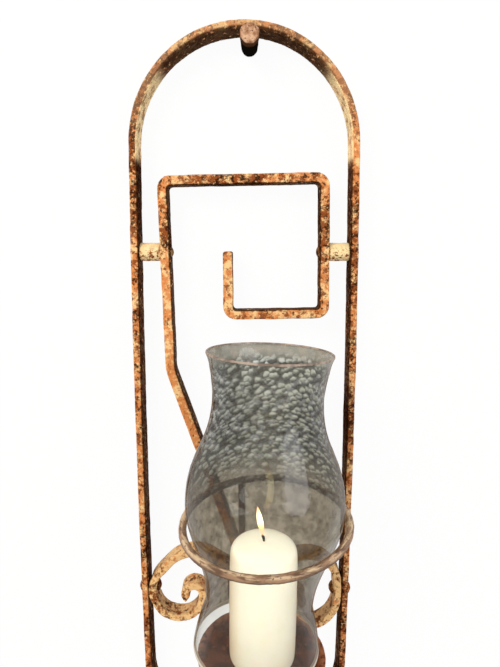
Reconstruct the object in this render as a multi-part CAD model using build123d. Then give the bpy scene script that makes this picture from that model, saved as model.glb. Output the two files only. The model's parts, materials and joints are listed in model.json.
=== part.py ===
# Wall candle holder of forged iron bar, hung on a peg in the wall.
#
# A flat bar bent into a long loop is the outer frame. Inside its upper half a second flat
# bar makes a square-cornered scroll, held off both legs by round spacers and rivets. Its tail
# runs down to the middle, where a collar gathers it with two volutes and a round stem.
# The stem carries a ring above and a candle plate below. The glass shade hangs in the ring
# by its bulge, and a pillar candle stands on the plate.
#
# Sizes are millimetres. The origin is on the peg's axis where it leaves the wall.
# X runs right along the wall, Y runs into the wall, and Z runs up.

import os
from math import cos, radians, sin, sqrt

from build123d import *

os.makedirs("parts", exist_ok=True)

# Wall peg
peg_wall_d = 17.0        # shank diameter where it leaves the wall
peg_neck_d = 18.8        # shank diameter behind the hammered head
peg_neck = 30.0          # from the wall to the head
peg_head_d = 19.0        # head measured over its flats
peg_head_len = 10.0
peg_face_bevel = 1.4     # worn edge of the head's face
peg_back_bevel = 0.6     # and of its back
peg_tail_d = 14.0        # the part that is set in the wall
peg_tail_len = 60.0
peg_point_len = 14.0     # tapered end of the tail
peg_gap = 0.3            # between the peg and the arch that hangs on it

# Outer frame: flat bar bent on the flat, a little wider towards its foot
arch_r = 119.3           # outside radius of the upper half round
arch_t = 8.8             # bar thickness there
foot_arch_r = 122.4      # outside radius of the lower half round
foot_arch_t = 8.4
bar_depth = 25.0
leg_len = 608.0          # between the centres of the two half rounds
leg_bow = 2.4            # how far the legs bow outwards halfway down
frame_x = -5.3           # the frame's middle, left of the peg, where the holder balances
bar_edge_r = 1.0         # worn edges of the flat bar

# Square-cornered scroll of flat bar
key_t = 10.4
key_depth = 22.0
key_back = 2.75          # its back stands this far off the wall
key_bend_r = 8.5         # centreline radius of the sharp bends
key_soft_r = 38.0        # centreline radius of the gentle bends
key_top_drop = 133.7     # peg axis down to the middle of the upper bar
key_top_rise = 3.4       # its right end stands this much higher than its left end
key_bottom_drop = 275.6  # peg axis down to the middle of the lower bar
key_bottom_rise = 1.5
key_end_drop = 208.2     # peg axis down to the cut end of the inner riser
key_bend_drop = 338.0    # peg axis down to the bend of the left upright
key_riser_in = 18.0      # inner riser, left of the frame's middle
key_left = 86.2          # left upright, at its top, from the frame's middle
key_left_lean = 4.0      # how far it has moved inwards at its bend
key_right = 83.6         # right upright, at its top, from the frame's middle
key_right_lean = 2.9     # how far it has moved outwards at its foot
key_tail_bend = 17.5     # the tail's bend stands this far above the collar

# Spacers between legs and scroll, and the rivets through them
spacer_d = 19.5
spacer_drop = 208.8
rivet_d = 6.0
rivet_play = 0.05        # between a shank and its hole
upper_head_d = 12.0
upper_head_h = 2.6
volute_head_d = 15.5
volute_head_h = 4.4

# Stem of round rod, ring and collar
stem_d = 8.0
stem_left = 3.6          # the stem stands this far left of the frame's middle
ring_drop = 469.5        # peg axis down to the ring's centre
ring_r = 81.6            # centreline radius
ring_rod = 7.9
ring_bearing = 107.6     # where round the ring the stem meets it, in degrees from +X
ring_droop = 4.3         # the ring's front hangs low by this angle
ring_cant = 2.4          # its right side stands high by this angle
stem_saddle = 1.5        # the stem's top stops this far under the ring's centreline
collar_t = 2.5
collar_h = 20.0
collar_drop = 599.5      # peg axis down to the collar's middle
tail_out = 4.0           # tails of scroll and volutes show this far below the collar

# Volutes of flat bar, bent by hand, so the two differ
volute_t = 9.0
volute_depth = 21.0
volute_proud = 0.5          # stands out in front of the legs by this much
volute_tail_r = 14.0        # bend above the collar
volute_eye_r = 10.5         # rolled eye
volute_tip_r = 8.0
volute_tip_angle = 55.0
left_rivet_drop = 607.5     # where the left volute touches its leg
left_rise_angle = 58.0      # turn above the collar, in degrees
left_hump_r = 38
left_fall_angle = 137.0     # heading down to the leg, in degrees from straight up
left_leg_r = 33             # bend that touches the leg
left_leave_angle = 201.0    # heading as it leaves the leg
left_leave_len = 6
left_belly_r = 29.0
left_inner_r = 28.0
left_riser = 3.4
right_rivet_drop = 611.0
right_rise_angle = 76.0
right_hump_r = 35.0
right_fall_angle = 177.0
right_leg_r = 34.0
right_leave_angle = 183.0
right_leave_len = 7.0
right_belly_r = 38.5
right_inner_r = 23.4
right_riser = 11.6

# Plate and its arm
plate_r = 65.8
plate_t = 2.5
plate_rim_h = 3.0        # the rim's rise above the floor
plate_floor_r = 47.0     # where the floor starts to rise
plate_drop = 617.9       # peg axis down to the floor
plate_shift = 1.3        # the plate's centre, right of the ring's axis
arm_bend_r = 20.0
arm_gap = 1.5            # between the arm's rod and the plate
pad_r = 13.0
pad_t = 5.0
pad_lap = 5.0            # the arm's end lies this far inside the pad's edge
plate_rivet_head_h = 3.2

# Plate and candle tip to the right by this angle, in degrees, and the shade by a little more
cup_lean = 1.9
shade_lean = 2.1

# Glass shade, levels measured from the ring's centre along the shade's own axis
glass_t = 2.2
glass_left = 1.4         # the shade sits this far left of the ring's centre
glass_forward = 0.2
glass_up = 1.8
foot_r, foot_z = 63.8, -136.5
waist_r, waist_z = 53.4, -85.5
bulge_r, bulge_z = 78.2, 18.0
neck_r, neck_z = 52.7, 124.0
rim_r, rim_z = 60.0, 166.1
foot_sweep = 3.6         # how far the foot's wall turns in just above its edge
rim_sweep = 3.8          # and the rim's wall just below its edge
bead_r = 1.9             # rolled bead of the rim

# Candle and wick
candle_right = 0.7       # the candle stands this far right of the plate's centre
candle_r = 33.6
candle_h = 127.0
candle_crown = 9.9       # the crown's rise above the shoulder
candle_edge = 2.0        # rounded lower edge
wick_d = 2.0
wick_play = 0.05
wick_out = 7.0           # wick above the wax
wick_in = 40.0           # wick inside the wax
wick_lean = 2.2          # how far the burnt tip leans over

# Values worked out from the sizes above
mid_depth = bar_depth / 2
key_y = -key_back - key_depth / 2
peg_front_r = (peg_wall_d + (peg_neck_d - peg_wall_d) * bar_depth / peg_neck) / 2
arch_drop = sqrt((arch_r - arch_t - peg_front_r - peg_gap) ** 2 - frame_x ** 2)
foot_arch_drop = arch_drop + leg_len
collar_top = collar_drop - collar_h / 2
tail_drop = collar_drop + collar_h / 2 + tail_out

volute_y = -bar_depth - volute_proud + volute_depth / 2

stem_x = frame_x - stem_left
stem_y = -(key_back + key_depth + stem_d / 2)
ring_turn = Rot(ring_droop, -ring_cant, 0)
ring_reach = (
    ring_turn
    * Pos(ring_r * cos(radians(ring_bearing)), ring_r * sin(radians(ring_bearing)), 0)
).position
ring_x = stem_x - ring_reach.X
ring_y = stem_y - ring_reach.Y
ring_place = Pos(ring_x, ring_y, -ring_drop) * ring_turn
shade_place = Pos(ring_x - glass_left, ring_y - glass_forward, glass_up - ring_drop) * Rot(0, shade_lean, 0)
axis_slip = (plate_drop - ring_drop) * sin(radians(cup_lean))
plate_place = Pos(ring_x - axis_slip + plate_shift, ring_y, -plate_drop) * Rot(0, cup_lean, 0)
candle_place = plate_place * Pos(candle_right, 0, 0)


def leg_face(upper_r, lower_r, drop):
    """Distance from the frame's middle to a leg's face, between half rounds of these radii."""
    share = (drop - arch_drop) / leg_len
    return upper_r + (lower_r - upper_r) * share + 4 * leg_bow * share * (1 - share)


def leg_out(drop):
    return leg_face(arch_r, foot_arch_r, drop)


def leg_in(drop):
    return leg_face(arch_r - arch_t, foot_arch_r - foot_arch_t, drop)


def upright(side, drop):
    """Distance from the frame's middle to an upright's centreline."""
    if side < 0:
        return key_left - key_left_lean * (drop - key_top_drop) / (key_bend_drop - key_top_drop)
    return key_right + key_right_lean * (drop - key_top_drop) / (key_bottom_drop - key_top_drop)


def along_x(x, z, radius, length):
    """Round bar along X, centred on x in the frame's middle depth, x counted from the frame's middle."""
    return Pos(frame_x + x, -mid_depth, z) * Rot(0, 90, 0) * Cylinder(radius, length)


def swept_bar(path, depth, thickness):
    """Bar of rectangular section swept on a path that lies across the wall's depth."""
    section = Plane(origin=path @ 0, x_dir=(0, 1, 0), z_dir=path % 0) * Rectangle(depth, thickness)
    return sweep(section, path=path)


def bent_path(start, side, steps):
    """Path that sets out upwards. Each step is a straight length, then a bend towards side."""
    point, way = Vector(*start), Vector(0, 1)
    edges = []
    for length, radius, turn in steps:
        if length > 0:
            edges.append(Line(point, point + way * length))
            point = edges[-1] @ 1
        edges.append(JernArc(point, way, radius, -side * turn))
        point = edges[-1] @ 1
        way = edges[-1] % 1
    return Wire(edges)


def reach(radius, first, last):
    """How far a bend goes sideways and upwards between two headings, in degrees from straight up."""
    first, last = radians(first), radians(last)
    return Vector(radius * (cos(first) - cos(last)), radius * (sin(last) - sin(first)))


def wall_peg():
    """Tapered forged peg: eight-sided hammered head, round shank, and a tail for the wall."""
    shank = Cone(peg_wall_d / 2, peg_neck_d / 2, peg_neck, align=(Align.CENTER, Align.CENTER, Align.MIN))
    head = extrude(
        Pos(0, 0, peg_neck) * Rot(0, 0, 22.5) * RegularPolygon(peg_head_d / 2, 8, major_radius=False),
        peg_head_len,
    )
    head = chamfer(head.faces().sort_by(Axis.Z)[-1].edges(), peg_face_bevel)
    head = chamfer(head.faces().sort_by(Axis.Z)[0].edges(), peg_back_bevel)
    straight = peg_tail_len - peg_point_len
    tail = Pos(0, 0, -straight / 2) * Cylinder(peg_tail_d / 2, straight)
    point = Pos(0, 0, -peg_tail_len) * Cone(
        peg_tail_d / 6, peg_tail_d / 2, peg_point_len, align=(Align.CENTER, Align.CENTER, Align.MIN)
    )
    return Plane.XZ * (shank + head + tail + point)


def long_loop(upper_r, lower_r):
    """Outline of two half rounds and the slightly bowed sides between them."""
    half = leg_len / 2
    belly = (upper_r + lower_r) / 2 + 2 * leg_bow
    right = Bezier((upper_r, half), (belly, 0), (lower_r, -half))
    left = Bezier((-lower_r, -half), (-belly, 0), (-upper_r, half))
    top = ThreePointArc((-upper_r, half), (0, half + upper_r), (upper_r, half))
    foot = ThreePointArc((lower_r, -half), (0, -half - lower_r), (-lower_r, -half))
    return make_face(Wire([top.edge(), right.edge(), foot.edge(), left.edge()]))


def outer_frame():
    """Closed loop of flat bar: two legs between half rounds, drilled for four rivets."""
    loop = long_loop(arch_r, foot_arch_r) - long_loop(arch_r - arch_t, foot_arch_r - foot_arch_t)
    middle = Pos(frame_x, -(arch_drop + foot_arch_drop) / 2)
    bar = extrude(Plane.XZ * middle * loop, bar_depth)
    bar = fillet(bar.edges(), bar_edge_r)
    drops = [(-1, spacer_drop), (1, spacer_drop), (-1, left_rivet_drop), (1, right_rivet_drop)]
    for side, drop in drops:
        bar -= along_x(side * leg_out(drop), -drop, rivet_d / 2, 4 * arch_t)
    return bar


def key_scroll():
    """Flat bar: inner riser, lower bar, right upright, upper bar, left upright, tail."""
    corners = [
        (-key_riser_in, -key_end_drop),
        (-key_riser_in, -key_bottom_drop - key_bottom_rise / 2),
        (key_right + key_right_lean, -key_bottom_drop + key_bottom_rise / 2),
        (key_right, -key_top_drop + key_top_rise / 2),
        (-key_left, -key_top_drop - key_top_rise / 2),
        (-key_left + key_left_lean, -key_bend_drop),
        (-stem_left, -collar_top + key_tail_bend),
        (-stem_left, -tail_drop),
    ]
    radii = [key_bend_r] * 4 + [key_soft_r] * 2
    line = FilletPolyline(*[(frame_x + x, z) for x, z in corners], radius=radii)
    path = Plane.XZ.offset(-key_y) * line
    bar = swept_bar(path, key_depth, key_t)
    for side in (-1, 1):
        bar -= along_x(side * upright(side, spacer_drop), -spacer_drop, rivet_d / 2, 2 * key_t)
    return bar


def spacer(side, frame, bar):
    """Round spacer from one leg to the scroll's upright, bored for its rivet, its ends cut to fit both."""
    inner = upright(side, spacer_drop)
    length = (leg_in(spacer_drop) + leg_out(spacer_drop)) / 2 - inner
    middle = side * (inner + length / 2)
    body = along_x(middle, -spacer_drop, spacer_d / 2, length)
    return body - along_x(middle, -spacer_drop, rivet_d / 2, 2 * length) - frame - bar


def domed_head(side, x, drop, diameter, height):
    """Domed rivet head that stands out towards side from a face at x."""
    radius = diameter / 2
    dome_r = (height ** 2 + radius ** 2) / (2 * height)
    dome = Pos(0, 0, height - dome_r) * Sphere(dome_r)
    dome &= Pos(0, 0, height / 2) * Cylinder(radius, height)
    return Pos(frame_x + x, -mid_depth, -drop) * Rot(0, side * 90, 0) * dome


def rivet(side, drop, inner, diameter, height):
    """Rivet through a leg and what is fixed to it, from a head outside to a head at inner."""
    outer = leg_out(drop)
    shank = along_x(side * (inner + outer) / 2, -drop, rivet_d / 2 - rivet_play, outer - inner)
    heads = domed_head(side, side * outer, drop, diameter, height)
    return shank + heads + domed_head(-side, side * inner, drop, diameter, height)


def volute(side, drop, rise, hump_r, fall, leg_r, leave, leave_len, belly_r, inner_r, riser):
    """Flat bar from the collar, over a hump, down its leg and round into a rolled eye."""
    touch = leg_in(drop) - volute_t / 2
    tail_x = -stem_left + side * (key_t + volute_t) / 2
    bends = reach(volute_tail_r, 0, rise) + reach(hump_r, rise, fall) + reach(leg_r, fall, 180)
    left = Vector(abs(side * touch - tail_x), collar_top - drop) - bends
    up, down = radians(rise), radians(fall)
    across = sin(up) * cos(down) - sin(down) * cos(up)
    climb = (left.X * cos(down) - left.Y * sin(down)) / across
    slope = (left.Y * sin(up) - left.X * cos(up)) / across
    path = bent_path(
        (tail_x, -tail_drop),
        side,
        [
            (tail_drop - collar_top, volute_tail_r, rise),
            (climb, hump_r, fall - rise),
            (slope, leg_r, leave - fall),
            (leave_len, belly_r, 270 - leave),
            (0, inner_r, 90),
            (riser, volute_eye_r, 180),
            (0, volute_tip_r, volute_tip_angle),
        ],
    )
    bar = swept_bar(Plane.XZ.offset(-volute_y) * Pos(frame_x, 0) * path, volute_depth, volute_t)
    hole = along_x(side * touch, -drop, rivet_d / 2, 2 * volute_t)
    flat = along_x(side * (touch - volute_t), -drop, volute_head_d / 2, volute_t)
    return bar - hole - flat


def left_volute():
    return volute(
        -1, left_rivet_drop, left_rise_angle, left_hump_r, left_fall_angle, left_leg_r, left_leave_angle,
        left_leave_len, left_belly_r, left_inner_r, left_riser,
    )


def right_volute():
    return volute(
        1, right_rivet_drop, right_rise_angle, right_hump_r, right_fall_angle, right_leg_r, right_leave_angle,
        right_leave_len, right_belly_r, right_inner_r, right_riser,
    )


def shade_ring():
    """Plain round rod closed into a ring."""
    return ring_place * Torus(ring_r, ring_rod / 2)


def stem(ring):
    """Round rod up to the ring and forward under the plate, where a round pad is forged on it."""
    arm_z = -plate_drop - plate_t - arm_gap - stem_d / 2
    centre = plate_place.position
    top = Vector(stem_x, stem_y, -ring_drop + ring_reach.Z - stem_saddle)
    heading = Vector(centre.X - stem_x, centre.Y - stem_y, 0).normalized()
    end = Vector(centre.X, centre.Y, arm_z) - heading * (pad_r - pad_lap)
    path = FilletPolyline(top, (stem_x, stem_y, arm_z), end, radius=arm_bend_r)
    section = Plane(origin=path @ 0, z_dir=path % 0) * Circle(stem_d / 2)
    rod = sweep(section, path=path)
    pad = plate_place * Pos(0, 0, -plate_t - pad_t / 2) * Cylinder(pad_r, pad_t)
    hole = plate_place * Pos(0, 0, -plate_t - pad_t / 2) * Cylinder(rivet_d / 2, 3 * pad_t)
    return rod + pad - hole - ring


def collar():
    """Band wrapped round the stem, the scroll's tail and the two volute tails."""
    front = stem_y - stem_d / 2
    back = key_y + key_depth / 2
    width = key_t + 2 * volute_t
    depth = back - front
    inside = Rectangle(width, depth)
    band = fillet(Rectangle(width + 2 * collar_t, depth + 2 * collar_t).vertices(), collar_t) - inside
    return Pos(stem_x, (front + back) / 2, -collar_drop - collar_h / 2) * extrude(band, collar_h)


def drip_plate():
    """Shallow round plate with a slightly raised rim and a countersunk hole for its rivet."""
    floor = Polyline((0, -plate_t), (0, 0), (plate_floor_r, 0))
    rise = Bezier(
        (plate_floor_r, 0),
        ((plate_floor_r + plate_r) / 2, 0),
        (plate_r, plate_rim_h),
    )
    edge = Polyline(
        (plate_r, plate_rim_h),
        (plate_r, plate_rim_h - plate_t),
    )
    under = Bezier(
        (plate_r, plate_rim_h - plate_t),
        ((plate_floor_r + plate_r) / 2, -plate_t),
        (plate_floor_r, -plate_t),
    )
    close = Line((plate_floor_r, -plate_t), (0, -plate_t))
    profile = make_face(Wire([*floor.edges(), rise.edge(), *edge.edges(), under.edge(), close.edge()]))
    dish = revolve(Plane.XZ * profile, Axis.Z)
    dish -= Pos(0, 0, -plate_t / 2) * Cone(rivet_d / 2, rivet_d, plate_t)
    return plate_place * dish


def plate_rivet():
    """Rivet that joins plate and pad: flush head above, domed head below."""
    top = Pos(0, 0, -plate_t / 2) * Cone(rivet_d / 2, rivet_d, plate_t)
    shank = Pos(0, 0, -(plate_t + pad_t) / 2) * Cylinder(rivet_d / 2 - rivet_play, plate_t + pad_t)
    head_r = upper_head_d / 2
    dome_r = (plate_rivet_head_h ** 2 + head_r ** 2) / (2 * plate_rivet_head_h)
    dome = Pos(0, 0, dome_r - plate_rivet_head_h) * Sphere(dome_r)
    dome &= Pos(0, 0, -plate_rivet_head_h) * Cylinder(head_r, 2 * plate_rivet_head_h)
    return plate_place * (top + shank + Pos(0, 0, -plate_t - pad_t) * dome)


def glass_shade():
    """Blown glass shade: flared foot, waist, bulge, neck and a flared rim with a rolled bead."""

    def wall(inset):
        """The wall's outline from foot to rim, drawn inwards by inset."""
        foot, waist, bulge, neck, rim = [
            (r - inset, z)
            for r, z in [
                (foot_r, foot_z),
                (waist_r, waist_z),
                (bulge_r, bulge_z),
                (neck_r, neck_z),
                (rim_r, rim_z),
            ]
        ]
        lower, belly, shoulder, upper = waist_z - foot_z, bulge_z - waist_z, neck_z - bulge_z, rim_z - neck_z
        return [
            Bezier(foot, (foot[0] - foot_sweep, foot_z + lower * 0.58), (waist[0], waist_z - lower * 0.16), waist),
            Bezier(waist, (waist[0], waist_z + belly * 0.39), (bulge[0], bulge_z - belly * 0.29), bulge),
            Bezier(bulge, (bulge[0], bulge_z + shoulder * 0.48), (neck[0], neck_z - shoulder * 0.45), neck),
            Bezier(neck, (neck[0], neck_z + upper * 0.18), (rim[0] - rim_sweep, rim_z - upper * 0.09), rim),
        ]

    outer, inner = wall(0), wall(glass_t)
    foot_edge = Line(inner[0] @ 0, outer[0] @ 0)
    rim_edge = Line(outer[-1] @ 1, inner[-1] @ 1)
    profile = make_face(Wire([*outer, rim_edge, *inner, foot_edge]))
    profile += Pos(rim_r - bead_r, rim_z) * Circle(bead_r)
    return shade_place * revolve(Plane.XZ * profile, Axis.Z)


def candle():
    """Pillar candle with a rounded crown and a hole for its wick."""
    shoulder = candle_h - candle_crown
    side = Polyline((0, 0), (candle_r - candle_edge, 0), (candle_r, candle_edge), (candle_r, shoulder))
    crown = Bezier(
        (candle_r, shoulder),
        (candle_r, shoulder + candle_crown * 0.7),
        (candle_r * 0.5, candle_h),
        (0, candle_h),
    )
    close = Line((0, candle_h), (0, 0))
    profile = make_face(Wire([*side.edges(), crown.edge(), close.edge()]))
    wax = revolve(Plane.XZ * profile, Axis.Z)
    wax -= Pos(0, 0, candle_h - wick_in / 2) * Cylinder(wick_d / 2 + wick_play, wick_in)
    return candle_place * wax


def wick():
    """Braided wick, straight in the wax and bent over at its burnt tip."""
    start = (0, candle_h - wick_in)
    bend = (0, candle_h + wick_out * 0.3)
    tip = (-wick_lean, candle_h + wick_out)
    path = Plane.XZ * Wire([Line(start, bend).edge(), TangentArc(bend, tip, tangent=(0, 1)).edge()])
    section = Plane(origin=path @ 0, z_dir=path % 0) * Circle(wick_d / 2)
    return candle_place * sweep(section, path=path)


def build():
    """Every node of the holder, by name."""
    frame = outer_frame()
    bar = key_scroll()
    ring = shade_ring()
    nodes = {
        "wall_peg": wall_peg(),
        "outer_frame": frame,
        "key_scroll": bar,
        "volute_left": left_volute() - frame,
        "volute_right": right_volute() - frame,
        "shade_ring": ring,
        "stem": stem(ring),
        "collar": collar(),
        "drip_plate": drip_plate(),
        "plate_rivet": plate_rivet(),
        "glass_shade": glass_shade(),
        "candle": candle(),
        "wick": wick(),
    }
    for name, side, drop in (("left", -1, left_rivet_drop), ("right", 1, right_rivet_drop)):
        inner = upright(side, spacer_drop) - key_t / 2
        held = leg_in(drop) - volute_t
        nodes[f"spacer_{name}"] = spacer(side, frame, bar)
        upper = rivet(side, spacer_drop, inner, upper_head_d, upper_head_h)
        nodes[f"upper_rivet_{name}"] = upper - bar - frame
        nodes[f"volute_rivet_{name}"] = rivet(side, drop, held, volute_head_d, volute_head_h) - frame
    return nodes


for node, shape in build().items():
    export_step(shape, f"parts/{node}.step")
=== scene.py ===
"""Wall candle holder: forged and painted iron, a blown glass shade and a lit pillar candle."""

import json
import math

import bpy
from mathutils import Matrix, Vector

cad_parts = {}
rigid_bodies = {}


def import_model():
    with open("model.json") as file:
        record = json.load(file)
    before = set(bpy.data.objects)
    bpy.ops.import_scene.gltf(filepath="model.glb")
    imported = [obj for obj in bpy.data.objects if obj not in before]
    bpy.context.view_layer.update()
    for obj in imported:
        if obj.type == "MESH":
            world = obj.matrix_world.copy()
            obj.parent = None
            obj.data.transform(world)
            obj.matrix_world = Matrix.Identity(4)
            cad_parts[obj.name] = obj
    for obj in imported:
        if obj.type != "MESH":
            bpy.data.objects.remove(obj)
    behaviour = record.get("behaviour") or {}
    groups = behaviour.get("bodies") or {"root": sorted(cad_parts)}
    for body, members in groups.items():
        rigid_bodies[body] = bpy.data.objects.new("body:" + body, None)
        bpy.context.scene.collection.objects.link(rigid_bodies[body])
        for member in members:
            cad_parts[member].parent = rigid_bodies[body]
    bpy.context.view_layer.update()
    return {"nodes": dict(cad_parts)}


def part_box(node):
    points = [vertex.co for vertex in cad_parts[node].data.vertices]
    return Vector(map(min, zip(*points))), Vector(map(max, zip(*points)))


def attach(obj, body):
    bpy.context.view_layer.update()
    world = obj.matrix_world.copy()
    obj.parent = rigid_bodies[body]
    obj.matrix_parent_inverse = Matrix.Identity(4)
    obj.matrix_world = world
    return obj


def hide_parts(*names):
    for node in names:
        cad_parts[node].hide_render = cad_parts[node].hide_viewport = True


bl_info = {
    "name": "Wall candle holder",
    "version": (1, 0, 0),
    "blender": (4, 5, 0),
    "location": "View3D > Sidebar > Candle holder",
    "description": "Builds a forged iron wall candle holder with its glass shade, candle and flame",
    "category": "Object",
}

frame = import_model()

# Places read from the frame, so that the new pieces stay where the parts are
ring_low, ring_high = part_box("shade_ring")
ring_centre = (ring_low + ring_high) / 2
candle_low, candle_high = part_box("candle")
plate_low, plate_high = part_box("drip_plate")
scroll_low, scroll_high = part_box("key_scroll")
frame_low, frame_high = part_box("outer_frame")

# Measures of the solids that their boxes don't give, in metres and degrees
ARCH_RADIUS = 0.1193
FOOT_RADIUS = 0.1224
CANDLE_RADIUS = 0.0336
CANDLE_NODE_LEAN = 1.9
# From the scroll's top down to about the middle of its square part
SCROLL_SQUARE_DROP = 0.077
# Within this distance of its centre the arch's front is dark too, as painted shade along the arch's
# underside, fading in between these heights
ARCH_DARK_REACH = 0.1136
ARCH_DARK_FROM, ARCH_DARK_TO = -0.045, -0.020
# Heights between which the wear of the loop sets in, and a stretch where the faces that look inwards are
# painted cream in streaks instead of dark
LOOP_WEAR_FROM, LOOP_WEAR_TO = -0.11, -0.04
LOOP_CREAM_BAND = (-0.122, -0.108, -0.036, -0.024)
# The origin of the shade's own coordinates, from the ring's centre
SHADE_OFFSET = Vector((-0.0014, -0.0002, 0.0018))
# Heights in those coordinates between which the shade's wall is pressed with marks
MARKS_FROM, MARKS_TO = 0.030, 0.158
# The photograph's viewpoint: place, angles in degrees, lens and sensor in millimetres
CAMERA_PLACE = (-0.0005, -0.562, -0.2065)
CAMERA_TILT, CAMERA_TURN = 80.5, -0.1
CAMERA_LENS, CAMERA_SENSOR = 26.99, 36.0

# The outline of the shade's wall from foot to rim, in millimetres in its own coordinates:
# radius, height, how far the blown wall strays to the right, and how far the ring tips back in degrees
SHADE_RINGS = (
    (64.4, -136.5, -2.8, 0.0),
    (64.1, -134.6, -2.8, 0.0),
    (61.9, -120.6, -2.6, 0.0),
    (59.1, -108.1, -2.3, 0.0),
    (56.4, -98.5, -2.0, 0.0),
    (54.4, -91.1, -1.7, 0.0),
    (53.6, -85.5, -1.4, 0.0),
    (54.9, -68.6, -0.9, 0.0),
    (58.3, -52.6, -0.5, 0.0),
    (63.2, -37.3, -0.2, 0.0),
    (68.4, -22.6, -0.1, 0.0),
    (73.3, -8.6, 0.0, 0.0),
    (76.8, 4.9, -0.1, 0.0),
    (78.2, 18.0, -0.2, 0.0),
    (76.8, 37.4, -0.5, 0.0),
    (73.1, 52.9, -0.8, 0.0),
    (68.0, 66.1, -1.1, 0.0),
    (62.4, 78.3, -1.4, 0.2),
    (57.4, 91.0, -1.6, 0.4),
    (53.7, 105.8, -1.7, 0.7),
    (52.3, 124.0, -1.7, 1.0),
    (52.8, 130.9, -1.7, 1.2),
    (54.0, 141.0, -1.6, 1.4),
    (55.7, 151.8, -1.6, 1.6),
    (57.8, 161.0, -1.5, 1.8),
    (59.5, 164.6, -1.5, 1.9),
    (60.1, 165.7, -1.5, 1.9),
    (60.1, 167.8, -1.5, 1.9),
)
# The candle from its foot over the crown, then the dip round the wick
CANDLE_RINGS = (
    (31.6, 0.0, 0.0),
    (33.0, 0.5, 0.0),
    (33.8, 2.0, 0.0),
    (34.1, 20.0, 0.0),
    (34.2, 60.0, -0.2),
    (34.0, 95.0, -0.1),
    (33.7, 112.0, 0.0),
    (33.2, 117.5, 0.0),
    (31.4, 121.0, 0.0),
    (27.5, 123.6, 0.0),
    (21.5, 125.2, 0.0),
    (14.5, 126.3, 0.0),
    (8.0, 126.9, 0.0),
    (4.0, 126.8, 0.0),
    (1.2, 126.5, 0.0),
)
# The burnt wick from inside the wax to its bent tip
WICK_RINGS = (
    (0.9, 87.0, 0.0),
    (1.0, 100.0, 0.0),
    (1.0, 124.0, 0.0),
    (1.2, 127.4, -0.1),
    (1.4, 129.0, -0.3),
    (1.6, 130.4, -0.7),
    (1.6, 131.5, -1.1),
    (1.1, 132.4, -1.5),
    (0.4, 132.8, -1.7),
)
# The flame from the wick to its tip, pulled a little to the left by the draught
FLAME_RINGS = (
    (0.5, 130.5, -0.9),
    (1.4, 133.0, -1.3),
    (2.2, 137.0, -2.1),
    (2.8, 141.5, -3.0),
    (3.2, 146.0, -3.9),
    (3.0, 150.5, -4.7),
    (2.3, 155.0, -5.5),
    (1.4, 159.0, -6.2),
    (0.3, 163.0, -6.9),
)


def linear(code):
    """Turns an sRGB hex colour into the linear light that the shaders take."""
    parts = [int(code[i : i + 2], 16) / 255 for i in (1, 3, 5)]
    return tuple(p / 12.92 if p <= 0.04045 else ((p + 0.055) / 1.055) ** 2.4 for p in parts)


def colour(name, description, code):
    """A colour that a user can change in the panel."""
    return bpy.props.FloatVectorProperty(
        name=name, description=description, subtype="COLOR", size=3, min=0.0, max=1.0, default=linear(code)
    )


def length(name, description, default):
    """A length in metres that a user can change in the panel."""
    return bpy.props.FloatProperty(
        name=name, description=description, subtype="DISTANCE", unit="LENGTH", min=0.0, default=default,
        precision=5,
    )


def slant(name, description, degrees):
    """A lean that a user can change in the panel."""
    return bpy.props.FloatProperty(
        name=name, description=description, subtype="ANGLE", unit="ROTATION", default=math.radians(degrees)
    )


class CandleHolderSizes(bpy.types.PropertyGroup):
    """Sizes of the hammer work, the glass and the candle, and how far the last two lean."""

    bar_face: length("Bar face size", "Side of the small faces that the forged bars are rebuilt in", 0.0013)
    dent_width: length("Hammer mark width", "Width of the shallow hammer marks on the bars", 0.022)
    dent_depth: length("Hammer mark depth", "Most that the hammer marks reach from peak to trough", 0.0009)
    pit_width: length("Rust pit width", "Width of the small pits that rust has left", 0.0035)
    pit_depth: length("Rust pit depth", "Most that the small pits reach from peak to trough", 0.00035)
    glass_wall: length("Glass wall", "Thickness of the shade's blown wall", 0.0022)
    glass_mark_width: length("Glass mark width", "Width of the pebble marks in the glass", 0.0075)
    glass_mark_depth: length("Glass mark depth", "Displacement strength of the pebble marks", 0.0005)
    wax_wave: length("Wax unevenness", "Most that the candle's side wanders from peak to trough", 0.0007)
    shade_lean: slant("Shade lean", "How far the shade leans to the right", 2.1)
    candle_lean: slant("Candle lean", "How far the candle leans to the right", 0.6)


class CandleHolderColours(bpy.types.PropertyGroup):
    """Colours of the paint, the iron, the wax and the flame."""

    cream: colour("Cream paint", "Worn cream paint", "#F2C88E")
    orange: colour("Orange paint", "Orange paint that shows through the cream", "#D88C54")
    tan: colour("Faded paint", "Paint stained by rust", "#B46C3A")
    rust: colour("Rust", "Rust in the worn patches", "#803E18")
    # Dark scale in the pits and patches, and painted shade on the faces that look inwards
    dark_scale_and_shade: colour("Dark scale", "Dark scale on the sheltered faces and in the pits", "#261005")
    pale: colour("Pale paint", "Palest paint, on the spacers", "#F2DCA8")
    rod: colour("Bare rod", "Bare ring with its brown patina", "#A58265")
    plate: colour("Plate rust", "Even rust on the drip plate", "#683824")
    peg: colour("Chalky paint", "Chalky paint on the peg's head", "#D2AB8C")
    wax: colour("Wax", "Ivory wax", "#FFFCF2")
    flame: colour("Flame", "Thin outer part of the flame", "#FF9E42")


def add(tree, kind, settings=None, sockets=None):
    """Adds one shader node with its settings, and links or fills its sockets."""
    node = tree.nodes.new("ShaderNode" + kind)
    for key, value in (settings or {}).items():
        setattr(node, key, value)
    for key, value in (sockets or {}).items():
        if isinstance(value, bpy.types.NodeSocket):
            tree.links.new(value, node.inputs[key])
        else:
            node.inputs[key].default_value = value
    return node


def opaque(shade):
    """A colour with the fourth number that a colour socket takes."""
    return (*shade[:3], 1.0)


def tint(code):
    """An sRGB hex colour as a colour socket takes it."""
    return opaque(linear(code))


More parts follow.
